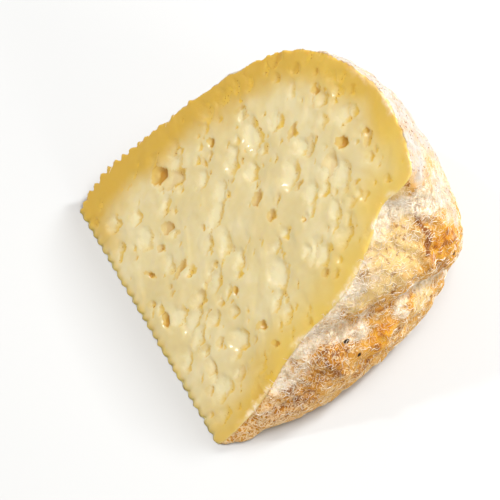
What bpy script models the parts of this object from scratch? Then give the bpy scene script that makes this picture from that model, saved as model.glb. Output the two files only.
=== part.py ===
"""A wedge of a small pressed cheese wheel with a natural rind, lying on one of its two cut faces.

The wedge is one solid: the rind grew on the paste, so the two are not separate parts.
The wheel's axis is the wedge's thin edge, along Y. The resting cut is in the plane Z = 0 and the
upper cut leans over it by the wedge angle. Between the cuts the body is a loft through three
sections that differ: the wheel bulged and sagged as it ripened, so it is not a turned shape.
+X runs along the resting cut towards the rim, +Z is up, and the origin is the middle of the base.
"""
import math

import bmesh
import bpy
import numpy as np

# Driving dimensions. A section point is (radius from the wheel's axis, height along it) in mm.
MM = 0.001
WEDGE_ANGLE = math.radians(45)          # an eighth of the wheel
SLICES = 24                             # steps of the loft from cut to cut
STEPS_PER_SPAN = 5                      # steps of the outline between two section points

# One row for each point of the outline: (resting cut, middle of the wedge, upper cut).
THIN_EDGE_FOOT = ((0, 0), (0, 0), (0, 0))
LOWER_FACE = [
    ((12, -1.5), (13, -2.8), (14, 1)),
    ((25, -2.5), (25, -4), (24, 3.4)),
    ((38, -1.2), (38, -3.2), (33, 6.6)),
    ((50, 2), (50, -1.2), (44, 8.3)),
    ((61, 4.2), (62, 1), (56, 9)),
    ((70, 8), (71, 3.6), (66, 11.3)),
    ((79, 13), (80, 8), (76, 16.3)),
    ((88, 18.5), (88, 11.5), (84.5, 21.9)),
]
RIM = [
    ((94, 22.5), (94, 17), (92, 21.8)),
    ((98.5, 29), (97.5, 26), (98.5, 24)),
    ((101, 39), (99.6, 37), (102.3, 36)),
    ((102.5, 50), (100, 49), (103.8, 46)),
    ((100, 63), (98.5, 62), (101, 58.5)),
    ((93, 76), (93, 75), (94, 71.5)),
]
UPPER_FACE = [
    ((82, 83), (83, 82.5), (83, 80.8)),
    ((66, 88), (67, 87), (68, 85.4)),
    ((50, 90), (50, 89.8), (50, 88.7)),
    ((30, 90.5), (30, 91), (30, 90.7)),
    ((12, 90), (13, 90.8), (13, 91.5)),
]
THIN_EDGE_HEAD = ((0, 88), (0, 88), (0, 88))

# The fold across the lower rind face, where the young wheel slumped over its board, as the X and Z
# of the points it passes, measured from the thin edge in mm.
FOLD = [(31, 29), (52, 32.5), (66, 31), (76, 25), (88, 14)]
FOLD_DEPTH = 2.2
FOLD_WIDTH = 4.5
# Swellings of the lower rind face: (X, Z, rise, radius) in mm.
SWELLINGS = [(77, 42, 1.2, 11), (50, 22, 0.9, 9), (36, 22, 0.8, 9)]
FACE_END_HEIGHT = 24                    # above this height the surface is the rim, and stays as lofted
RELIEF_FADE = 8                         # the relief grows over this distance from the upper cut, in mm
THIN_EDGE_FADE = 20                     # and over this distance from the thin edge

RIND_AND_PASTE = (0.84, 0.70, 0.40, 1)


def section(turn):
    """The outline of the slice at turn, 0 at the resting cut and 1 at the upper one, in mm."""
    rows = [THIN_EDGE_FOOT] + LOWER_FACE + RIM + UPPER_FACE + [THIN_EDGE_HEAD]
    rest, middle, upper = np.array(rows, dtype=float).transpose(1, 0, 2)
    knots = rest * (1 - turn) * (1 - 2 * turn) + middle * 4 * turn * (1 - turn) + upper * turn * (2 * turn - 1)
    return smooth_through(knots)


def smooth_through(knots):
    """A Catmull-Rom curve through the points, with STEPS_PER_SPAN steps between each pair."""
    padded = np.vstack([2 * knots[0] - knots[1], knots, 2 * knots[-1] - knots[-2]])
    points = []
    for before, start, end, after in zip(padded, padded[1:], padded[2:], padded[3:]):
        for step in range(STEPS_PER_SPAN):
            t = step / STEPS_PER_SPAN
            points.append(0.5 * (2 * start + (end - before) * t
                                 + (2 * before - 5 * start + 4 * end - after) * t ** 2
                                 + (3 * start - before - 3 * end + after) * t ** 3))
    points.append(knots[-1])
    return np.array(points)


def distance_to_line(point, line):
    """How far a point is from a line of straight runs, all in mm."""
    nearest = math.inf
    for start, end in zip(line, line[1:]):
        start, run = np.array(start), np.subtract(end, start)
        along = np.clip(np.dot(point - start, run) / np.dot(run, run), 0, 1)
        nearest = min(nearest, np.linalg.norm(point - start - along * run))
    return nearest


def lower_face_relief(x, z, height):
    """How far the fold and the swellings push the lower rind face inwards, in mm."""
    place = np.array((x, z))
    relief = FOLD_DEPTH * math.exp(-(distance_to_line(place, FOLD) / FOLD_WIDTH) ** 2)
    for swelling_x, swelling_z, rise, radius in SWELLINGS:
        reach = math.hypot(x - swelling_x, z - swelling_z) / radius
        relief -= rise * math.exp(-reach ** 2)
    return relief * np.clip((FACE_END_HEIGHT - height) / 6, 0, 1)


def slice_points(turn):
    """The slice's points in space, in mm from the foot of the thin edge."""
    angle = turn * WEDGE_ANGLE
    points = []
    for radius, height in section(turn):
        x, z = radius * math.cos(angle), radius * math.sin(angle)
        from_upper_cut = radius * (WEDGE_ANGLE - angle)
        strength = min(radius / THIN_EDGE_FADE, from_upper_cut / RELIEF_FADE, 1)
        height += strength * lower_face_relief(x, z, height)
        points.append((x, height, z))
    return points


def loft_wedge():
    """The closed mesh: the rind between the slices, and a flat face on each cut."""
    wedge = bmesh.new()
    slices = [slice_points(step / SLICES) for step in range(SLICES + 1)]
    foot, head = wedge.verts.new(slices[0][0]), wedge.verts.new(slices[0][-1])
    rings = [[foot] + [wedge.verts.new(point) for point in points[1:-1]] + [head] for points in slices]
    for ring, following in zip(rings, rings[1:]):
        for i in range(len(ring) - 1):
            corners = dict.fromkeys((ring[i], ring[i + 1], following[i + 1], following[i]))
            wedge.faces.new(corners)
    wedge.faces.new(rings[0][::-1])
    wedge.faces.new(rings[-1])
    bmesh.ops.recalc_face_normals(wedge, faces=wedge.faces)
    return wedge


def move_origin_to_base(wedge):
    """Metres, with the origin at the middle of the box that holds the wedge, on the surface it lies on."""
    places = np.array([vert.co for vert in wedge.verts])
    middle = (places.min(axis=0) + places.max(axis=0)) / 2
    for vert in wedge.verts:
        vert.co.x = (vert.co.x - middle[0]) * MM
        vert.co.y = (vert.co.y - middle[1]) * MM
        vert.co.z *= MM


def cheese_material():
    """The pale gold that paste and rind have between them."""
    material = bpy.data.materials.new("cheese")
    material.use_nodes = True
    shader = material.node_tree.nodes["Principled BSDF"]
    shader.inputs["Base Color"].default_value = RIND_AND_PASTE
    shader.inputs["Roughness"].default_value = 0.5
    shader.inputs["Metallic"].default_value = 0
    return material


for leftover in list(bpy.data.objects):
    bpy.data.objects.remove(leftover, do_unlink=True)
collection = bpy.data.collections.new("cheese_wedge")
bpy.context.scene.collection.children.link(collection)

wedge = loft_wedge()
move_origin_to_base(wedge)
mesh = bpy.data.meshes.new("cheese_wedge")
wedge.to_mesh(mesh)
wedge.free()
mesh.materials.append(cheese_material())
mesh.shade_smooth()
mesh.set_sharp_from_angle(angle=math.radians(40))
collection.objects.link(bpy.data.objects.new("cheese_wedge", mesh))
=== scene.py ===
import math
import random

import bpy
import numpy as np
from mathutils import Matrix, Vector, noise
from mathutils.bvhtree import BVHTree
from mathutils.kdtree import KDTree


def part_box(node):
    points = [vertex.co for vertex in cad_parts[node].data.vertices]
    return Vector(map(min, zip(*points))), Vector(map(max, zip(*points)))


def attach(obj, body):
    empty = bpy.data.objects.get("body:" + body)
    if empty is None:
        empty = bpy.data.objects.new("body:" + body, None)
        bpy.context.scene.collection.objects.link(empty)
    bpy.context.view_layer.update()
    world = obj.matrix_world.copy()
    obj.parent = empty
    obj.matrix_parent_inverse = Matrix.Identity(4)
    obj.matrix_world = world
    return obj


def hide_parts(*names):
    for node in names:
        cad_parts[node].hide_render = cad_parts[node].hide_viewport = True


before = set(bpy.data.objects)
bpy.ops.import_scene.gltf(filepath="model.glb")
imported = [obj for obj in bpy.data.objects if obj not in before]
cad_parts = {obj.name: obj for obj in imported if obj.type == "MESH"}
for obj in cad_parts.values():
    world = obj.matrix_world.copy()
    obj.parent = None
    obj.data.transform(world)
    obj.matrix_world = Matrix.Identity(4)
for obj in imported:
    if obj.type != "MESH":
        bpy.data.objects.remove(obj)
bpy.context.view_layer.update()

# ---------------------------------------------------------------- the body of the cheese
# A wedge of a pressed wheel is one piece of curd: soft paste inside and the dried rind that grew
# on it. The wheel was pressed and ripened whole, then cut through its axis twice. The body starts
# as a copy of the solid, remeshed fine and even so that its surface can be worked.
MM = 0.001
WEDGE_ANGLE = math.radians(45)
GRAIN = 0.62 * MM
SAME_POINT = 0.01 * MM
FACET_EASING = 24
EASING_STEPS = 10

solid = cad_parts["cheese_wedge"]
cheese = bpy.data.objects.new("cheese", solid.data.copy())
bpy.context.collection.objects.link(cheese)
bpy.ops.object.select_all(action="DESELECT")
cheese.select_set(True)
bpy.context.view_layer.objects.active = cheese
cheese.data.materials.clear()
bpy.ops.object.mode_set(mode="EDIT")
bpy.ops.mesh.select_all(action="SELECT")
bpy.ops.mesh.remove_doubles(threshold=SAME_POINT)
bpy.ops.object.mode_set(mode="OBJECT")
remesh = cheese.modifiers.new("even grain", "REMESH")
remesh.mode = "VOXEL"
remesh.voxel_size = GRAIN
bpy.ops.object.modifier_apply(modifier=remesh.name)

# Every place on the cheese is measured in millimetres from the foot of the thin edge, where the
# wheel's axis met its lower face.
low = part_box("cheese_wedge")[0]
edge_heights = [vert.co.y for vert in solid.data.vertices if vert.co.x < low.x + SAME_POINT]
thin_edge_foot = np.array((low.x, min(edge_heights), low.z))
radial = np.array((math.cos(WEDGE_ANGLE), 0, math.sin(WEDGE_ANGLE)))
upper_normal = np.array((-math.sin(WEDGE_ANGLE), 0, math.cos(WEDGE_ANGLE)))


def places(piece):
    """The piece's points in mm from the foot of the thin edge."""
    points = np.empty(len(piece.data.vertices) * 3)
    piece.data.vertices.foreach_get("co", points)
    return (points.reshape(-1, 3) - thin_edge_foot) / MM


def set_places(piece, points):
    """Move the piece's points to places in mm from the foot of the thin edge."""
    piece.data.vertices.foreach_set("co", (points * MM + thin_edge_foot).ravel())
    piece.data.update()


def normals(piece):
    """Which way the surface looks at each of the piece's points."""
    directions = np.empty(len(piece.data.vertices) * 3)
    piece.data.vertex_normals.foreach_get("vector", directions)
    return directions.reshape(-1, 3)


def smoothstep(start, end, value):
    """Rises softly from 0 at start to 1 at end; start may be the larger."""
    t = np.clip((value - start) / (end - start), 0, 1)
    return t * t * (3 - 2 * t)


# The rind loses the solid's facets; the two cuts stay flat and their edges stay crisp.
points = places(cheese)
facing = normals(cheese)
below_cut = -points @ upper_normal
on_rind = smoothstep(0.75, 0.4, np.maximum(facing @ upper_normal, -facing[:, 2]))
rounding = on_rind * smoothstep(0.5, 3, np.minimum(below_cut, points[:, 2]))
rind_group = cheese.vertex_groups.new(name="rind")
for step in range(1, EASING_STEPS + 1):
    members = np.flatnonzero(np.rint(rounding * EASING_STEPS) == step)
    rind_group.add(members.tolist(), step / EASING_STEPS, "REPLACE")
ease = cheese.modifiers.new("ease facets", "SMOOTH")
ease.vertex_group = "rind"
ease.iterations = FACET_EASING
bpy.ops.object.modifier_apply(modifier=ease.name)

points = places(cheese)
facing = normals(cheese)
below_cut = -points @ upper_normal
on_upper_cut = smoothstep(0.45, 0.8, facing @ upper_normal) * smoothstep(1.0, 0.5, below_cut)
on_resting_cut = smoothstep(0.45, 0.8, -facing[:, 2]) * smoothstep(1.0, 0.5, points[:, 2])
on_rind = np.clip(1 - on_upper_cut - on_resting_cut, 0, 1)
across = points @ radial
along = points[:, 1]

# ---------------------------------------------------------------- the eyes of the paste
# Gas made the round eyes and trapped whey the flat slits, and the knife opened them as shallow
# bowls, deeper on the side where it left them.

# Each is (across, along, radius, stretch, turn in degrees, depth) on the upper cut, in mm; across
# runs from the thin edge to the rim.
OPEN_EYES = [
    (30, 78, 3.1, 1.15, 20, 3.0), (23, 63, 2.3, 1.3, 120, 1.5), (18, 60, 1.7, 1.1, 40, 1.1),
    (16, 73, 2.4, 1.5, 60, 0.9), (8, 77, 3.2, 1.3, 150, 1.1), (50, 74, 1.5, 1.4, 100, 1.2),
    (63, 73, 1.0, 1.9, 30, 1.3), (87, 63, 1.8, 1.2, 60, 1.4), (90, 67, 1.2, 1.2, 30, 0.8),
    (93, 50, 2.2, 1.2, 40, 0.8), (93, 42, 1.3, 1.1, 0, 1.4), (85, 45, 2.0, 1.2, 150, 1.9),
    (74, 58, 1.5, 2.2, 30, 1.0), (76, 51, 2.2, 1.8, 35, 1.2), (62, 66, 4.0, 1.2, 100, 1.3),
    (66, 49, 3.8, 1.4, 50, 1.3), (79, 38, 4.2, 1.3, 40, 1.2), (75, 41, 2.6, 1.2, 20, 1.0),
    (53, 50, 1.9, 1.6, 20, 1.3), (54, 43, 1.8, 1.1, 0, 1.2), (63, 35, 1.3, 1.3, 10, 1.5),
    (58, 28, 1.2, 1.2, 60, 1.2), (36, 53, 0.7, 2.4, 40, 0.8), (59, 18, 1.5, 1.2, 0, 1.0),
    (32, 33, 1.2, 1.8, 60, 1.1), (24, 21, 3.9, 1.2, 130, 1.8), (33, 19, 1.6, 1.5, 150, 1.2),
    (34, 12, 1.3, 1.3, 120, 1.0), (7, 41, 1.7, 1.5, 60, 1.9), (20, 50, 1.6, 2.6, 20, 1.1),
    (10, 56, 0.9, 2.6, 120, 0.9), (15, 66, 3.6, 1.2, 70, 0.8), (44, 60, 3.4, 1.3, 60, 1.0),
    (41, 67, 3.0, 1.2, 20, 0.9), (56, 58, 2.8, 1.5, 60, 0.9), (71, 65, 2.6, 1.6, 60, 0.9),
    (68, 40, 3.3, 1.4, 30, 1.1), (72, 31, 3.0, 1.3, 60, 0.9), (46, 28, 4.4, 1.2, 80, 1.3),
    (38, 40, 2.8, 1.5, 60, 1.0), (28, 40, 2.6, 2.0, 40, 1.0), (14, 35, 3.2, 1.8, 20, 1.2),
    (6, 27, 2.8, 1.5, 60, 1.0), (11, 13, 3.0, 1.6, 50, 1.2), (18, 13, 2.2, 1.4, 20, 0.9),
    (42, 17, 2.4, 1.5, 70, 0.8), (50, 35, 2.3, 1.4, 30, 0.8), (26, 69, 2.4, 1.8, 30, 0.8),
]
DEEP_SIDE = math.radians(-50)
LIE_OF_EYES = math.radians(30)
WANDER_SIZE = 2.6
OUTSIDE_EVERY_EYE = -3.0
EYE_DEPTH = 0.65
PILLOW_HEIGHT = 0.28
RIPPLE_HEIGHT = 0.10
SWELL_HEIGHT = 0.6
UPPER_STREWN = 360
RESTING_STREWN = 340


def grain(places_mm, size, seed):
    """Soft noise from -1 to 1 whose lumps are about size mm across."""
    return np.array([noise.noise(Vector(place) / size + Vector((seed, 0, 0))) for place in places_mm])


def open_eyes(face_across, face_along, eyes, seed):
    """The eyes of a cut face, point by point: their depth in mm, how far the point is inside a brim
    in mm, how far it lies to the deep side, from -1 to 1, and the eye's depth over its radius."""
    flat = np.column_stack((face_across, face_along, np.zeros_like(face_across)))
    wander = np.column_stack((grain(flat, WANDER_SIZE, seed), grain(flat, WANDER_SIZE, seed + 40)))
    depth = np.zeros_like(face_across)
    inside = np.full_like(face_across, OUTSIDE_EVERY_EYE)
    lean = np.zeros_like(face_across)
    steep = np.zeros_like(face_across)
    for eye_across, eye_along, radius, stretch, turn, deep in eyes:
        reach = radius * stretch * 1.3 + 3
        near = np.flatnonzero((np.abs(face_across - eye_across) < reach)
                              & (np.abs(face_along - eye_along) < reach))
        if len(near) == 0:
            continue
        drift = min(0.42 * radius, 1.0)
        offset_across = face_across[near] - eye_across + wander[near, 0] * drift
        offset_along = face_along[near] - eye_along + wander[near, 1] * drift
        cos, sin = math.cos(math.radians(turn)), math.sin(math.radians(turn))
        long_way = (offset_across * cos + offset_along * sin) / (radius * stretch)
        short_way = (offset_along * cos - offset_across * sin) / radius
        out = np.hypot(long_way, short_way)
        towards_deep = offset_across * math.cos(DEEP_SIDE) + offset_along * math.sin(DEEP_SIDE)
        bowl = smoothstep(1.1, 0.45, out) * np.clip(0.6 + 0.45 * towards_deep / radius, 0.15, 1.1)
        depth[near] = np.maximum(depth[near], deep * bowl)
        gap = (1 - out) * radius
        inner = gap > inside[near]
        inside[near] = np.where(inner, gap, inside[near])
        from_middle = np.hypot(offset_across, offset_along) + 0.2
        lean[near] = np.where(inner, towards_deep / from_middle, lean[near])
        steep[near] = np.where(inner, deep / radius, steep[near])
    return depth, inside, lean, steep


def scattered_eyes(count, seed):
    """Small eyes strewn over a cut face, most of them tiny."""
    dice = random.Random(seed)
    eyes = []
    for _ in range(count):
        radius = min(0.5 + dice.expovariate(1.1), 3.2)
        turn = math.degrees(LIE_OF_EYES) + dice.gauss(0, 35)
        eyes.append((dice.uniform(3, 98), dice.uniform(4, 86), radius, dice.uniform(1, 2.0), turn,
                     radius * dice.uniform(0.22, 0.6)))
    return eyes


def waxy_swell(face_across, face_along, seed):
    """The low pillows and drawn-out ripples that the knife left in the soft paste, in mm."""
    cos, sin = math.cos(LIE_OF_EYES), math.sin(LIE_OF_EYES)
    drawn = np.column_stack(((face_across * cos + face_along * sin) / 1.9,
                             face_along * cos - face_across * sin,
                             np.zeros_like(face_across)))
    pillows = smoothstep(-0.15, 0.35, grain(drawn, 3.4, seed)) - 0.5
    ripples = grain(drawn, 1.5, seed + 7)
    swell = grain(drawn, 9, seed + 13)
    return PILLOW_HEIGHT * pillows + RIPPLE_HEIGHT * ripples + SWELL_HEIGHT * swell


# How far each point of a cut face is from the rind, in mm.
rind_points = points[(on_rind > 0.5) & ((np.abs(points @ upper_normal) < 2) | (points[:, 2] < 2))]
rind_tree = KDTree(len(rind_points))
for index, place in enumerate(rind_points):
    rind_tree.insert(place, index)
rind_tree.balance()
from_rind = np.array([rind_tree.find(place)[2] for place in points])
rim_calm = smoothstep(2, 14, from_rind)
inside_eye = np.full(len(points), OUTSIDE_EVERY_EYE)
deep_side = np.zeros(len(points))
steep_eye = np.zeros(len(points))


def cut_open(face_points, face_across, eyes, seed):
    """Lay the eyes into one cut face and give back their depth."""
    depth, inside, lean, steep = open_eyes(face_across[face_points], along[face_points], eyes, seed)
    inside_eye[face_points] = inside
    deep_side[face_points] = lean
    steep_eye[face_points] = steep
    return depth


upper_points = on_upper_cut > 0.01
deep = cut_open(upper_points, across, OPEN_EYES + scattered_eyes(UPPER_STREWN, seed=5), seed=3)
swell = waxy_swell(across[upper_points], along[upper_points], seed=11)
fade_to_rind = 0.5 + 0.5 * rim_calm[upper_points]
upper_relief = np.zeros(len(points))
upper_relief[upper_points] = swell * fade_to_rind - EYE_DEPTH * deep * fade_to_rind

# The resting cut has the same eyes, but its pillows are pressed flat by the cheese's own weight.
resting_points = (on_resting_cut > 0.01) & ~upper_points
deep = cut_open(resting_points, points[:, 0], scattered_eyes(RESTING_STREWN, seed=21), seed=9)
resting_relief = np.zeros(len(points))
resting_relief[resting_points] = -deep * (0.3 + 0.7 * rim_calm[resting_points])

# ---------------------------------------------------------------- the relief of the rind
# The rind is the outside of the curd, dried and grown over with mould. It kept the creases that
# the wheel got when it slumped on its board, and the lumps of the curd under it.

# Lines are (X, Z) points across the wheel's lower face, lumps (X, Y, Z, radius, height), all in mm
# from the foot of the thin edge. Swells are (size, height, seed).
FOLD = [(31, 29), (52, 32.5), (66, 31), (76, 25), (88, 14)]
VALLEY = [(57, 57), (61, 58), (66, 59.5), (71, 58), (77, 55), (83, 50)]
WRINKLES = [
    [(40, 22), (47, 26), (55, 28)], [(60, 50), (66, 44), (70, 38)], [(48, 14), (58, 18), (68, 18)],
    [(20, 12), (27, 15), (33, 20)], [(66, 50), (72, 44), (76, 34)],
]
LUMPS = [
    (79, 12, 40, 9, 1.4), (52, 0, 20, 3.5, 1.3), (55, 1, 25, 3, 1.0), (36, 1, 23, 4, 0.9),
    (60, 9, 42, 9, 0.8), (45, 5, 36, 4, 0.7), (62, 3, 27, 4, 0.8), (70, 5, 24, 4, 0.9),
    (28, 4, 24, 4, 0.8), (40, -2, 18, 4, 0.8),
]
SWELLS = [(13, 0.8, 41), (5, 0.8, 43), (2.4, 0.5, 47)]
FOLD_DEPTH = 1.5
VALLEY_DEPTH = 0.6
WRINKLE_DEPTH = 0.8


def distance_to_line(places_flat, line):
    """How far each flat place is from a line of straight runs, in mm."""
    nearest = np.full(len(places_flat), 1e9)
    for start, end in zip(line, line[1:]):
        start, run = np.array(start), np.subtract(end, start)
        along_run = np.clip((places_flat - start) @ run / (run @ run), 0, 1)
        gap = places_flat - start - along_run[:, None] * run
        nearest = np.minimum(nearest, np.hypot(gap[:, 0], gap[:, 1]))
    return nearest


flat_places = points[:, [0, 2]] + 1.2 * np.column_stack((grain(points, 6, 31), grain(points, 6, 37)))
on_lower_face = smoothstep(34, 26, along)
from_fold = distance_to_line(flat_places, FOLD)
from_valley = distance_to_line(flat_places, VALLEY)
from_wrinkles = np.min([distance_to_line(flat_places, line) for line in WRINKLES], axis=0)
rind_relief = np.zeros(len(points))
for size, height, seed in SWELLS:
    rind_relief += height * grain(points, size, seed)
fold_depth = FOLD_DEPTH * (0.85 + 0.9 * grain(points, 9, 99))
rind_relief -= on_lower_face * (fold_depth * np.exp(-(from_fold / 1.7) ** 2)
                                + VALLEY_DEPTH * np.exp(-(from_valley / 2.4) ** 2)
                                + WRINKLE_DEPTH * np.exp(-(from_wrinkles / 1.3) ** 2))
for x, y, z, radius, height in LUMPS:
    away = np.linalg.norm(points - np.array((x, y, z)), axis=1)
    rind_relief += height * np.exp(-(away / radius) ** 2)
thin_edge_reach = np.hypot(points[:, 0], points[:, 2])
rind_relief *= smoothstep(0, 5, thin_edge_reach)

# ---------------------------------------------------------------- the edges of the cuts
# The wavy blade left scallops along the thin edge and pulled the top edge into curly teeth near
# the wheel's middle, where the rind is thinnest.
SCALLOP_PITCH = 3.2
SCALLOP_DEPTH = 0.9
TOOTH_PITCH = 3.3
TOOTH_HEIGHT = 1.5
CRUMB_HEIGHT = 1.1


def grain_along(distance, size, seed):
    """Soft noise that changes only along one line."""
    return grain(np.column_stack((distance, 0 * distance, 0 * distance)), size, seed)


scallop_place = along / SCALLOP_PITCH + 0.3 * grain_along(along, 7, 51)
scallop = (0.5 + 0.5 * np.cos(2 * math.pi * scallop_place)) ** 1.5
scallop *= 0.7 + 0.9 * grain_along(along, 4, 53)
upper_relief -= 0.5 * scallop * np.exp(-thin_edge_reach / 2.5)
into_wedge = np.array((math.cos(WEDGE_ANGLE / 2), 0, math.sin(WEDGE_ANGLE / 2)))

tooth_place = across / TOOTH_PITCH + 0.45 * grain_along(across, 6, 57)
tooth = (0.5 + 0.5 * np.cos(2 * math.pi * tooth_place)) ** 0.7
down_the_edge = np.column_stack((across, 0 * across, below_cut))
crumbs = grain_along(across, 4.5, 59) + 0.7 * grain(down_the_edge, 1.8, 60)
near_upper_edge = np.exp(-(below_cut / 1.3) ** 2) * smoothstep(2.2, 0.3, from_rind)
near_upper_edge *= smoothstep(70, 78, along)
curly = np.maximum(0.9 + 1.2 * grain(down_the_edge, 2.6, 58), 0.1) * smoothstep(40, 28, across)
curls = TOOTH_HEIGHT * (tooth - 0.45) * curly + CRUMB_HEIGHT * crumbs * smoothstep(20, 36, across)
teeth = near_upper_edge * curls * smoothstep(0, 3, across)

relief = (on_upper_cut * upper_relief)[:, None] * upper_normal
relief += (on_resting_cut * resting_relief)[:, None] * np.array((0, 0, -1))
relief += (on_rind * rind_relief)[:, None] * facing
relief += (SCALLOP_DEPTH * scallop * np.exp(-(thin_edge_reach / 2.2) ** 2))[:, None] * into_wedge
relief[:, 1] += teeth
worked = points + relief
worked[:, 2] = np.maximum(worked[:, 2], 0)
set_places(cheese, worked)
cheese.data.polygons.foreach_set("use_smooth", [True] * len(cheese.data.polygons))

# ---------------------------------------------------------------- colours over the surface
# Each mask says where on the body a colour lies: gold where the paste dried, moulds in patches
# where the rind stayed damp. The material below turns the masks into paste, mould and rind.

# Patches are (X, Y, Z, radius) in mm from the foot of the thin edge.
GLOW_WIDTH = 10.5
PILLOW_CREASE = [(70, 57), (70.5, 52), (72, 46), (71, 42)]
LEDGE = [(67, 22, 66, 4.5), (63, 20, 63, 3.5)]
BLOOM_ON_PILLOW = [(81, 22, 54, 6), (83, 19, 47, 5), (84.5, 18, 41, 3.5), (85, 26, 44, 6)]
WHITE_PATCHES = [
    (33, 7, 30, 6), (28, 6, 27, 4), (40, 5, 29, 4), (46, 2, 28, 4), (23, 3, 20, 2.5), (60, 3, 27, 3),
    (60, 19, 57, 5),
]
BUTTER_PATCHES = [
    (55, 16, 53, 7), (58, 11, 47, 7), (53, 8, 42, 6), (47, 7, 40, 5), (70, 5, 24, 6), (84, 13, 46, 6),
    (64, 12, 46, 5), (65, 14, 52, 4),
]
OCHRE_PATCHES = [
    (77, 12, 40, 8), (80, 11, 35, 8), (52, -1, 19, 5), (54, 1, 24, 4.5), (50, 0, 23, 3),
    (20, 91, 8, 9), (95, 60, 15, 10), (60, 90, 20, 12),
]
BROWN_PATCHES = [
    (36, 1, 23, 7), (32, 1, 19, 4.5), (39, -1, 19, 3), (46, -2, 15, 4), (58, 1, 20, 3), (71, 17, 52, 2),
    (73, 14, 46, 2), (23, 0, 17, 4), (25, -3, 13, 6), (19, -3, 10, 5), (76, 9, 33, 4), (67, 22, 66, 2),
    (90, 80, 10, 8), (40, 91, 12, 8),
]
DARK_SPOTS = [
    (41.8, 1.7, 26.6, 1.6), (44.4, 0, 23, 1.0), (81.9, 11.8, 33.5, 1.5), (82.8, 12.6, 35.0, 1.3),
    (67.5, 22, 66, 1.2),
]


def paint(name, values):
    """Keep a mask on the body, one number for each of its points."""
    mask = cheese.data.attributes.new(name, "FLOAT", "POINT")
    mask.data.foreach_set("value", np.asarray(values, dtype=np.float32))


def patches(spots):
    """A mask of soft patches whose round outlines wander."""
    mask = np.zeros(len(points))
    warped = points + 2.2 * np.column_stack([grain(points, 4, seed) for seed in (61, 67, 71)])
    for x, y, z, radius in spots:
        away = np.linalg.norm(warped - np.array((x, y, z)), axis=1)
        mask = np.maximum(mask, smoothstep(1.25 * radius, 0.45 * radius, away))
    return mask


paste = np.clip(on_upper_cut + on_resting_cut, 0, 1)
paint("paste", paste)
rind_section = smoothstep(2.4, 0.2, from_rind + 1.0 * grain(points, 2, 79)) * smoothstep(76, 60, along)
paint("rind_section", rind_section * smoothstep(-0.1, 0.4, grain(points, 8, 97)) * paste)
glow_reach = from_rind + 2.5 * grain(points, 9, 73)
glow = np.exp(-(np.maximum(glow_reach, 0) / GLOW_WIDTH) ** 2) * (1 - 0.3 * smoothstep(44, 30, along))
glow = np.maximum(glow, 0.5 * smoothstep(14, 3, across) * smoothstep(64, 76, along) * on_upper_cut)
paint("rind_glow", np.maximum(glow, 0.7 * np.exp(-(thin_edge_reach / 2.2) ** 2)) * paste)
pale_gold = 0.35 * smoothstep(80, 65, along)
pale_gold += 0.65 * smoothstep(48, 30, along) * smoothstep(20, 40, across)
paint("pale_gold", pale_gold)
paint("inside_eye", inside_eye * MM)
paint("deep_side", deep_side)
paint("steep_eye", steep_eye)

# Under the upper cut the rim has dense bloom in a grey-white that is painted shade, darker than
# the white mould where the side lamp falls strongest; round the back the moulds grow in broken
# patches, and the ledge under the cut's shoulder stays bare.
wandering = along + 7 * grain(points, 15, 87)
beyond_shoulder = smoothstep(61, 67, points[:, 2] + 0.4 * (points[:, 0] - 70))
behind = np.maximum(smoothstep(24, 36, wandering), beyond_shoulder)
off_ledge = 1 - patches(LEDGE)
rim = behind * smoothstep(66, 30, below_cut + 14 * grain(points, 13, 89))
rim = rim * smoothstep(40, 60, across) * off_ledge
rim = np.maximum(rim, 0.8 * patches(BLOOM_ON_PILLOW) * off_ledge)
back = behind * (1 - rim)
paint("rim", rim)

# White mould fills the fold and the valley, and stands as fuzz along the border of the upper cut.
mould = (0.55 + 0.9 * grain(points, 6, 101)) * on_lower_face * np.exp(-(from_fold / 2.2) ** 2)
mould += on_lower_face * np.exp(-(from_valley / 3.5) ** 2) * off_ledge
border_fuzz = smoothstep(8, 1.5, below_cut) * smoothstep(20, 30, across) * smoothstep(80, 60, across)
mould = np.maximum(mould, (0.8 + 1.1 * grain(points, 5, 103)) * on_lower_face * border_fuzz)
mould = np.maximum(mould, 0.75 * back * smoothstep(-0.2, 0.4, grain(points, 14, 83)))
mould = np.maximum(mould, 0.9 * patches(WHITE_PATCHES))
paint("mould", mould)

# The crust under it is butter-coloured in patches and higher up the lower face, ochre and brown where it
# aged.
higher_up = smoothstep(35, 41, points[:, 2]) * smoothstep(72, 66, points[:, 0])
paint("butter", np.maximum(patches(BUTTER_PATCHES), 0.7 * on_lower_face * higher_up))
ochre_behind = 0.6 * back * smoothstep(0.2, 0.6, grain(points, 17, 91))
paint("ochre", np.maximum(patches(OCHRE_PATCHES), ochre_behind))
brown_behind = 0.7 * back * smoothstep(0.0, 0.5, grain(points, 12, 93))
paint("brown", np.maximum(patches(BROWN_PATCHES), brown_behind))
# Painted shade: a brown line above the fold and one where the pillow meets the rind.
fold_shadow_line = 0.6 * np.exp(-((from_fold - 1.4) / 0.9) ** 2) * (points[:, 2] > 28)
pillow_crease_shade = np.exp(-(distance_to_line(flat_places, PILLOW_CREASE) / 1.1) ** 2)
paint("crease_shade", on_lower_face * np.maximum(fold_shadow_line, pillow_crease_shade))
dark_spots = patches(DARK_SPOTS)
paint("dark", dark_spots)
paint("weave", smoothstep(38, 14, thin_edge_reach) * on_rind)


# ---------------------------------------------------------------- paste and rind
# Pale waxy paste, golden where it dried near the rind and amber in the eyes. Over it the rind:
# tan to brown crust with the print of the cheesecloth, under fine white mould threads.
def add_node(tree, kind, inputs=None, **settings):
    """A shader node, its inputs set to values or linked to sockets."""
    made = tree.nodes.new("ShaderNode" + kind)
    for name, value in settings.items():
        setattr(made, name, value)
    for name, value in (inputs or {}).items():
        if isinstance(value, bpy.types.NodeSocket):
            tree.links.new(value, made.inputs[name])
        else:
            made.inputs[name].default_value = value
    return made


def mask_of(tree, name):
    """A mask painted on the body."""
    return add_node(tree, "Attribute", attribute_name=name).outputs["Fac"]


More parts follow.
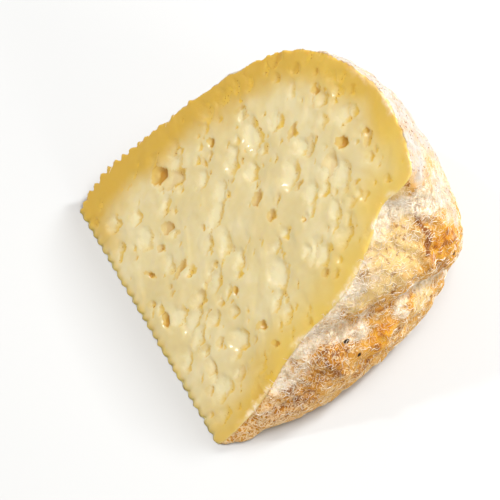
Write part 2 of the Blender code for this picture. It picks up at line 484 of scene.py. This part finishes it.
def mix_colour(tree, amount, first, second):
    return add_node(tree, "Mix", {0: amount, 6: first, 7: second}, data_type="RGBA").outputs[2]


def ramp(tree, value, low_end, high_end, to_low=0.0, to_high=1.0):
    """A soft step of the value from one end to the other."""
    return add_node(tree, "MapRange", {"Value": value, "From Min": low_end, "From Max": high_end,
                                       "To Min": to_low, "To Max": to_high},
                    interpolation_type="SMOOTHSTEP").outputs["Result"]


def math_of(tree, operation, first, second=0.0, third=0.0):
    return add_node(tree, "Math", {0: first, 1: second, 2: third}, operation=operation).outputs[0]


def speckle(tree, place, scale, detail=2.0):
    """Noise through the body, scale lumps to the metre."""
    return add_node(tree, "TexNoise", {"Vector": place, "Scale": scale, "Detail": detail}).outputs["Fac"]


KNEADED_PASTE = (0.675, 0.55, 0.265, 1)
SMEARED_PASTE = (0.71, 0.595, 0.315, 1)
PALE_PASTE = (0.74, 0.645, 0.385, 1)
LIT_BOWL_PASTE = (0.81, 0.725, 0.455, 1)
GOLDEN_PASTE = (0.625, 0.40, 0.06, 1)
PALE_GOLD_PASTE = (0.73, 0.515, 0.105, 1)
CRESCENT_SHADE_GOLD = (0.74, 0.485, 0.06, 1)
PALE_WHEY = (0.70, 0.46, 0.07, 1)
SHADED_AMBER_WHEY = (0.52, 0.25, 0.012, 1)
DARK_WHEY = (0.42, 0.18, 0.015, 1)
TAN_RIND = (0.58, 0.28, 0.045, 1)
BUTTER_RIND = (0.66, 0.455, 0.18, 1)
OCHRE_RIND = (0.52, 0.18, 0.004, 1)
AMBER_RIND = (0.66, 0.32, 0.02, 1)
RUSSET_RIND = (0.50, 0.21, 0.018, 1)
BROWN_RIND = (0.24, 0.075, 0.010, 1)
WHITE_MOULD = (0.88, 0.78, 0.62, 1)
CREAM_THREAD = (0.84, 0.66, 0.40, 1)
# Painted shade: a grey copy of the white mould for the rim under the side lamp.
SHADED_RIM_BLOOM = (0.50, 0.46, 0.41, 1)
DARK_SPOT = (0.035, 0.018, 0.010, 1)

material = bpy.data.materials.new("paste and rind")
material.use_nodes = True
tree = material.node_tree
shader = tree.nodes["Principled BSDF"]
place = add_node(tree, "TexCoord").outputs["Object"]

# An eye's bowl is painted pale, painted light on its floor; its deep side has a thin gold arc of
# painted shade, and a steep eye is amber with whey, darker amber towards the deep side as painted shade.
broad = speckle(tree, place, 90)
fine = speckle(tree, place, 700)
ragged = math_of(tree, "MULTIPLY_ADD", speckle(tree, place, 750), 1.7 * MM, -0.85 * MM)
inside_brim = math_of(tree, "ADD", mask_of(tree, "inside_eye"), ragged)
brim = ramp(tree, inside_brim, -0.3 * MM, 0.25 * MM)
shaded_crescent = math_of(tree, "MULTIPLY", brim, ramp(tree, inside_brim, 2.2 * MM, 0.3 * MM))
shaded_crescent = math_of(tree, "MULTIPLY", shaded_crescent, ramp(tree, mask_of(tree, "deep_side"), 0.0, 0.8))
shaded_crescent = math_of(tree, "MULTIPLY", shaded_crescent, ramp(tree, mask_of(tree, "steep_eye"), 0.05, 0.4))
bowl = math_of(tree, "MULTIPLY_ADD", mask_of(tree, "deep_side"), 0.9 * MM, inside_brim)
bowl = ramp(tree, bowl, -0.2 * MM, 2.4 * MM)
wet_depth = ramp(tree, mask_of(tree, "steep_eye"), 0.4, 0.85)
whey = math_of(tree, "MULTIPLY", ramp(tree, inside_brim, 0, 0.5 * MM), wet_depth)
smeared = ramp(tree, speckle(tree, place, 160), 0.35, 0.7)
paste_colour = mix_colour(tree, smeared, SMEARED_PASTE, PALE_PASTE)
kneaded = ramp(tree, speckle(tree, place, 50, detail=1.0), 0.45, 0.7, 0, 0.7)
paste_colour = mix_colour(tree, kneaded, paste_colour, KNEADED_PASTE)
# Painted light: the pale paste in each eye's bowl.
paste_colour = mix_colour(tree, math_of(tree, "MULTIPLY", bowl, 0.85), paste_colour, LIT_BOWL_PASTE)
golden = math_of(tree, "ADD", mask_of(tree, "rind_glow"), math_of(tree, "MULTIPLY_ADD", broad, 0.4, -0.2))
gold_colour = mix_colour(tree, mask_of(tree, "pale_gold"), GOLDEN_PASTE, PALE_GOLD_PASTE)
paste_colour = mix_colour(tree, ramp(tree, golden, 0, 0.85), paste_colour, gold_colour)
# Painted shade: gold on the deep wall of each eye.
paste_colour = mix_colour(tree, math_of(tree, "MULTIPLY", shaded_crescent, 0.95), paste_colour, CRESCENT_SHADE_GOLD)
# The whey's own amber, darker towards the deep side as painted shade.
shaded_whey_colour = mix_colour(tree, ramp(tree, mask_of(tree, "deep_side"), -0.8, 0.5), PALE_WHEY, SHADED_AMBER_WHEY)
whey = math_of(tree, "MULTIPLY", whey, ramp(tree, mask_of(tree, "deep_side"), -1.0, 0.3, 0.6, 0.95))
paste_colour = mix_colour(tree, whey, paste_colour, shaded_whey_colour)
frayed = math_of(tree, "MULTIPLY", mask_of(tree, "rind_section"), ramp(tree, fine, 0.35, 0.6, 0.3, 1.0))
paste_colour = mix_colour(tree, frayed, paste_colour, WHITE_MOULD)
grit = math_of(tree, "MULTIPLY", ramp(tree, speckle(tree, place, 1300, detail=1.0), 0.64, 0.70), shaded_crescent)
paste_colour = mix_colour(tree, grit, paste_colour, DARK_WHEY)

# The mould's threads curl over the crust; near the thin edge the cheesecloth left its net in it.
CURL = (3 * MM, 3 * MM, 3 * MM)
NET_MESHES_PER_METRE = 620.0
curl = add_node(tree, "TexNoise", {"Vector": place, "Scale": 500.0, "Detail": 1.0}).outputs["Color"]
curled = add_node(tree, "VectorMath", {0: curl, 1: CURL}, operation="MULTIPLY").outputs[0]
curled = add_node(tree, "VectorMath", {0: place, 1: curled}).outputs[0]
net = add_node(tree, "TexVoronoi", {"Vector": curled, "Scale": NET_MESHES_PER_METRE},
               feature="DISTANCE_TO_EDGE").outputs["Distance"]
net = ramp(tree, net, 0.16, 0.03)
threads = speckle(tree, curled, 800, detail=0.0)
threads = math_of(tree, "ABSOLUTE", math_of(tree, "MULTIPLY_ADD", threads, 2.0, -1.0))
threads = ramp(tree, threads, 0.14, 0.02)
threads = math_of(tree, "MAXIMUM", threads, math_of(tree, "MULTIPLY", net, mask_of(tree, "weave")))
blotch = speckle(tree, place, 240, detail=4.0)


def patch(name, spread):
    """A painted mask whose outline breaks up in the blotches of the crust."""
    lowered = math_of(tree, "SUBTRACT", mask_of(tree, name), spread)
    return ramp(tree, math_of(tree, "MULTIPLY_ADD", blotch, 2 * spread, lowered), 0.1, 0.85)


specks = speckle(tree, place, 420, detail=3.0)
young_rind = mix_colour(tree, ramp(tree, blotch, 0.48, 0.85), TAN_RIND, BUTTER_RIND)
printed_rind = mix_colour(tree, ramp(tree, blotch, 0.38, 0.62), RUSSET_RIND, TAN_RIND)
rind_colour = mix_colour(tree, mask_of(tree, "weave"), young_rind, printed_rind)
rind_colour = mix_colour(tree, patch("butter", 0.7), rind_colour, BUTTER_RIND)
ochre_colour = mix_colour(tree, ramp(tree, specks, 0.4, 0.62), OCHRE_RIND, AMBER_RIND)
rind_colour = mix_colour(tree, patch("ochre", 0.5), rind_colour, ochre_colour)
russet = math_of(tree, "MULTIPLY", patch("brown", 0.9), ramp(tree, specks, 0.3, 0.5, 0.5, 1.0))
rind_colour = mix_colour(tree, russet, rind_colour, RUSSET_RIND)
scorched = math_of(tree, "MULTIPLY", russet, ramp(tree, specks, 0.45, 0.62))
rind_colour = mix_colour(tree, scorched, rind_colour, BROWN_RIND)
pits = math_of(tree, "MULTIPLY", ramp(tree, specks, 0.44, 0.32), 0.75)
rind_colour = mix_colour(tree, pits, rind_colour, BROWN_RIND)
# Painted shade darkens the creases brown.
crease_shade = math_of(tree, "SUBTRACT", mask_of(tree, "crease_shade"), 0.6)
crease_shade = math_of(tree, "MULTIPLY_ADD", specks, 1.2, crease_shade)
rind_colour = mix_colour(tree, ramp(tree, crease_shade, 0.35, 0.9), rind_colour, BROWN_RIND)
bloom = math_of(tree, "MULTIPLY", patch("mould", 0.9), ramp(tree, fine, 0.36, 0.56, 0.35, 1.0))
rim_bloom = math_of(tree, "MULTIPLY", mask_of(tree, "rim"), ramp(tree, blotch, 0.35, 0.6, 0.55, 1))
bloom = math_of(tree, "MAXIMUM", bloom, rim_bloom)
# Painted shade: the rim's mould and threads take the darker grey bloom colour.
mould_and_rim_shade_colour = mix_colour(tree, mask_of(tree, "rim"), WHITE_MOULD, SHADED_RIM_BLOOM)
rind_colour = mix_colour(tree, bloom, rind_colour, mould_and_rim_shade_colour)
thread_and_rim_shade_colour = mix_colour(tree, mask_of(tree, "rim"), CREAM_THREAD, SHADED_RIM_BLOOM)
thread_amount = math_of(tree, "MULTIPLY_ADD", patch("ochre", 0.4), -0.4, 0.7)
rind_colour = mix_colour(tree, math_of(tree, "MULTIPLY", threads, thread_amount), rind_colour, thread_and_rim_shade_colour)
freckles = ramp(tree, speckle(tree, place, 1300, detail=0.0), 0.715, 0.755)
freckles = math_of(tree, "MULTIPLY", freckles, mask_of(tree, "rim"))
rind_colour = mix_colour(tree, freckles, rind_colour, BROWN_RIND)
dark = math_of(tree, "SUBTRACT", mask_of(tree, "dark"), 0.7)
dark = math_of(tree, "MULTIPLY_ADD", fine, 1.4, dark)
rind_colour = mix_colour(tree, ramp(tree, dark, 0.42, 0.6), rind_colour, DARK_SPOT)

colour = mix_colour(tree, ramp(tree, mask_of(tree, "paste"), 0.3, 0.7), rind_colour, paste_colour)
tree.links.new(colour, shader.inputs["Base Color"])
roughness = ramp(tree, mask_of(tree, "paste"), 0.3, 0.7, 0.75, 0.36)
tree.links.new(roughness, shader.inputs["Roughness"])
CHEESE_SURFACE = {
    "Subsurface Weight": 0.65, "Subsurface Radius": (1.0, 0.75, 0.4), "Subsurface Scale": 2.0 * MM,
    "IOR": 1.45, "Specular IOR Level": 0.3, "Coat Roughness": 0.12,
}
for name, value in CHEESE_SURFACE.items():
    shader.inputs[name].default_value = value
wet = ramp(tree, mask_of(tree, "paste"), 0.3, 0.7, 0.0, 0.5)
tree.links.new(wet, shader.inputs["Coat Weight"])

crust = math_of(tree, "MULTIPLY_ADD", threads, 0.8, fine)
crust = math_of(tree, "MULTIPLY_ADD", speckle(tree, place, 300, detail=2.0), 2.5, crust)
crust = math_of(tree, "MULTIPLY", crust, ramp(tree, mask_of(tree, "paste"), 0.7, 0.3))
waxy = math_of(tree, "MULTIPLY", speckle(tree, place, 450, detail=3.0), 0.35)
pressed_brim = math_of(tree, "MULTIPLY", math_of(tree, "MULTIPLY", bowl, mask_of(tree, "paste")), -0.8)
height = math_of(tree, "ADD", math_of(tree, "ADD", crust, waxy), pressed_brim)
bump = add_node(tree, "Bump", {"Height": height, "Distance": 0.25 * MM, "Strength": 0.8})
tree.links.new(bump.outputs["Normal"], shader.inputs["Normal"])
cheese.data.materials.append(material)

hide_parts("cheese_wedge")
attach(cheese, "root")

# ---------------------------------------------------------------- the mould's free threads
# White mould grows over the rind as fine hairs. Most lie in the crust; the longest stand free as
# curls. One strand is drawn out of a triangle, and its copies are laid over the rind, in mm.
FRESH_HAIR = (0.86, 0.78, 0.66, 1)
AGED_HAIR = (0.72, 0.60, 0.42, 1)
STRANDS = 3600
STRAND_STEPS = 5
STRAND_RADIUS = 0.085
SHORTEST_STRAND = 1.2
LONGEST_STRAND = 3.4
CURL_SPREAD = 2.6
bpy.ops.object.select_all(action="DESELECT")
bpy.ops.mesh.primitive_circle_add(vertices=3, radius=1, fill_type="NGON")
strand = bpy.context.object
bpy.ops.object.mode_set(mode="EDIT")
bpy.ops.mesh.select_all(action="SELECT")
for _ in range(STRAND_STEPS):
    bpy.ops.mesh.extrude_region_move(TRANSFORM_OT_translate={"value": (0, 0, 1 / STRAND_STEPS)})
bpy.ops.mesh.select_all(action="SELECT")
bpy.ops.mesh.normals_make_consistent(inside=False)
bpy.ops.object.mode_set(mode="OBJECT")
one_strand = np.array([vert.co for vert in strand.data.vertices])
strand_faces = [list(face.vertices) for face in strand.data.polygons]
bpy.data.objects.remove(strand)

points = places(cheese)
facing = normals(cheese)
off_table = points[:, 2] > 4
hairiness = on_rind * (0.2 + 1.3 * mould) * (1 - 0.8 * rim) * off_table
hairiness *= (on_rind > 0.9) & (dark_spots < 0.05)
dice = np.random.default_rng(77)
roots = dice.choice(len(points), STRANDS, p=hairiness / hairiness.sum())
crust_faces = [tuple(face.vertices) for face in cheese.data.polygons]
crust = BVHTree.FromPolygons(points.tolist(), crust_faces)
threads_points = []
threads_faces = []
for root in roots:
    out = Vector(facing[root])
    first = out.orthogonal().normalized()
    second = out.cross(first)
    heading = dice.uniform(0, 2 * math.pi)
    curl_turn = dice.normal(0, CURL_SPREAD)
    length = dice.uniform(SHORTEST_STRAND, LONGEST_STRAND)
    lift = dice.uniform(0.02, 0.3)
    spine = []
    walk = Vector(points[root])
    for ring in range(STRAND_STEPS + 1):
        angle = heading + curl_turn * ring / STRAND_STEPS
        ahead = first * math.cos(angle) + second * math.sin(angle)
        on_crust, up, _, _ = crust.find_nearest(walk)
        arch = 0.03 + lift * math.sin(math.pi * ring / STRAND_STEPS) ** 2
        spine.append((on_crust + up * arch, up, ahead))
        walk = on_crust + ahead * length / STRAND_STEPS
    start = len(threads_points)
    for x, y, z in one_strand:
        ring = round(z * STRAND_STEPS)
        middle, up, ahead = spine[ring]
        side = up.cross(ahead).normalized()
        taper = STRAND_RADIUS * (1 - 0.8 * abs(ring / STRAND_STEPS - 0.35))
        threads_points.append(middle + side * x * taper + up * y * taper)
    threads_faces += [[start + corner for corner in face] for face in strand_faces]

threads_mesh = bpy.data.meshes.new("mould_threads")
threads_mesh.from_pydata((np.array(threads_points) * MM + thin_edge_foot).tolist(), [], threads_faces)
mould_threads = bpy.data.objects.new("mould_threads", threads_mesh)
bpy.context.collection.objects.link(mould_threads)
threads_material = bpy.data.materials.new("white mould hairs")
threads_material.use_nodes = True
tree = threads_material.node_tree
hair_place = add_node(tree, "TexCoord").outputs["Object"]
aged = ramp(tree, speckle(tree, hair_place, 200), 0.4, 0.6)
hair_colour = mix_colour(tree, aged, AGED_HAIR, FRESH_HAIR)
hair_shader = tree.nodes["Principled BSDF"]
tree.links.new(hair_colour, hair_shader.inputs["Base Color"])
hair_roughness = ramp(tree, speckle(tree, hair_place, 900), 0.3, 0.7, 0.6, 0.9)
tree.links.new(hair_roughness, hair_shader.inputs["Roughness"])
mould_threads.data.materials.append(threads_material)
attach(mould_threads, "root")

# ---------------------------------------------------------------- studio
# A pale table under a soft overhead light, a small hard one from the right that draws the eyes,
# a weak fill from the front and a glint from behind left. The camera looks down from the front left.
TABLE_GREY = (0.56, 0.56, 0.56, 1)
WARM_ROOM = (1, 0.95, 0.88, 1)
COOL_LAMP = (0.92, 0.97, 1.0)
CHEESE_MIDDLE = Vector((0, 0, 0.03))
CAMERA_PLACE = (-0.23645, -0.28164, 0.6369)
CAMERA_AIM = Vector((0.3072, 0.3956, -0.8655))
CAMERA_ROLL = math.radians(10.09)
bpy.ops.object.select_all(action="DESELECT")
bpy.ops.mesh.primitive_plane_add(size=6, location=(0, 0, 0))
floor = bpy.context.object
floor.name = "floor"
floor_material = bpy.data.materials.new("white table")
floor_material.use_nodes = True
floor_shader = floor_material.node_tree.nodes["Principled BSDF"]
floor_shader.inputs["Base Color"].default_value = TABLE_GREY
floor_shader.inputs["Roughness"].default_value = 0.9
floor_shader.inputs["Specular IOR Level"].default_value = 0.1
floor.data.materials.append(floor_material)

world = bpy.data.worlds.new("studio")
world.use_nodes = True
world.node_tree.nodes["Background"].inputs["Color"].default_value = WARM_ROOM
world.node_tree.nodes["Background"].inputs["Strength"].default_value = 0.5
bpy.context.scene.world = world


def softbox(name, place_m, size, watts, colour=(1, 1, 1)):
    """A square or oblong lamp turned towards the middle of the cheese."""
    light = bpy.data.lights.new(name, "AREA")
    light.shape = "RECTANGLE"
    light.size, light.size_y = size
    light.energy = watts
    light.color = colour
    lamp = bpy.data.objects.new(name, light)
    lamp.location = place_m
    lamp.rotation_euler = (CHEESE_MIDDLE - Vector(place_m)).to_track_quat("-Z", "Y").to_euler()
    bpy.context.collection.objects.link(lamp)


softbox("overhead", (0.18, -0.10, 0.95), (0.45, 0.45), 6.6)
softbox("side", (0.75, 0.07, 0.69), (0.12, 0.12), 7.5, colour=COOL_LAMP)
softbox("front", (0.35, -0.80, 0.40), (0.5, 0.3), 2.3)
softbox("glint", (-0.42, 0.33, 0.66), (0.06, 0.06), 1.4)

bpy.context.scene.view_settings.view_transform = "Standard"
camera_data = bpy.data.cameras.new("camera")
camera_data.lens = 174.0
camera_data.clip_start = 0.01
camera = bpy.data.objects.new("camera", camera_data)
camera.location = CAMERA_PLACE
camera.rotation_euler = CAMERA_AIM.to_track_quat("-Z", "Y").to_euler()
camera.rotation_euler.rotate_axis("Z", CAMERA_ROLL)
bpy.context.collection.objects.link(camera)
bpy.context.scene.camera = camera
